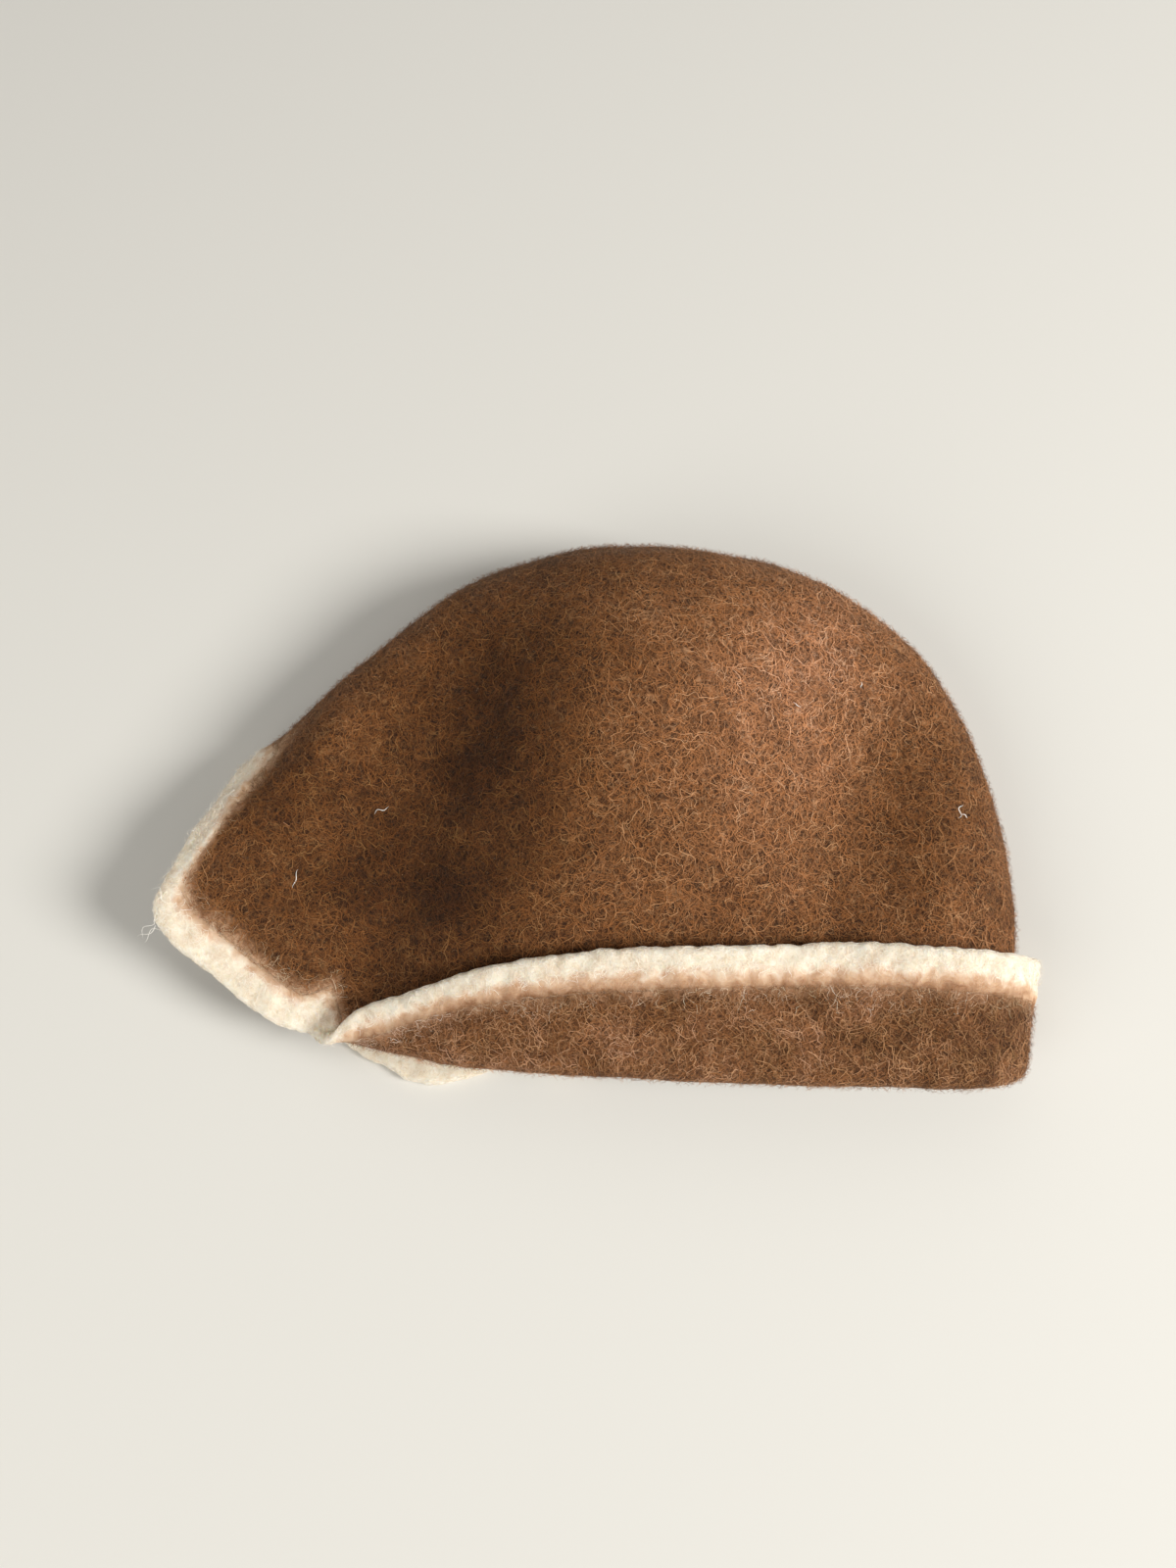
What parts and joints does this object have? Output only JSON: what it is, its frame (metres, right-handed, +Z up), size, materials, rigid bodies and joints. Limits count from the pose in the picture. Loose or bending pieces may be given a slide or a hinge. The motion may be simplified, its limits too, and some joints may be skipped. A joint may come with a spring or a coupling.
{
  "type": "mohair bucket hat",
  "caption": "Soft hollow bucket hat of felted mohair, lying flattened on its side, with a turned-up brim, a pointed front peak and a paler knitted edging.",
  "frame": {"origin": "middle of the box of the lying hat, on the surface that it lies on", "axes": "+X from the pointed front of the brim to the back of the head, +Y to the top of the crown, +Z up from the surface"},
  "size_m": [0.3288, 0.2112, 0.0645],
  "materials": {
    "brown_felt": "hairy fulled mohair, dark brown ground under tan fibres",
    "turned_brown_felt": "the felt's other side, a little lighter and pinker",
    "cream_edging": "cream knitted and fulled edging, softly bumpy"
  },
  "bodies": {
    "root": {"crown": "brown_felt", "brim": "turned_brown_felt", "edging": "cream_edging"}
  },
  "joints": []
}
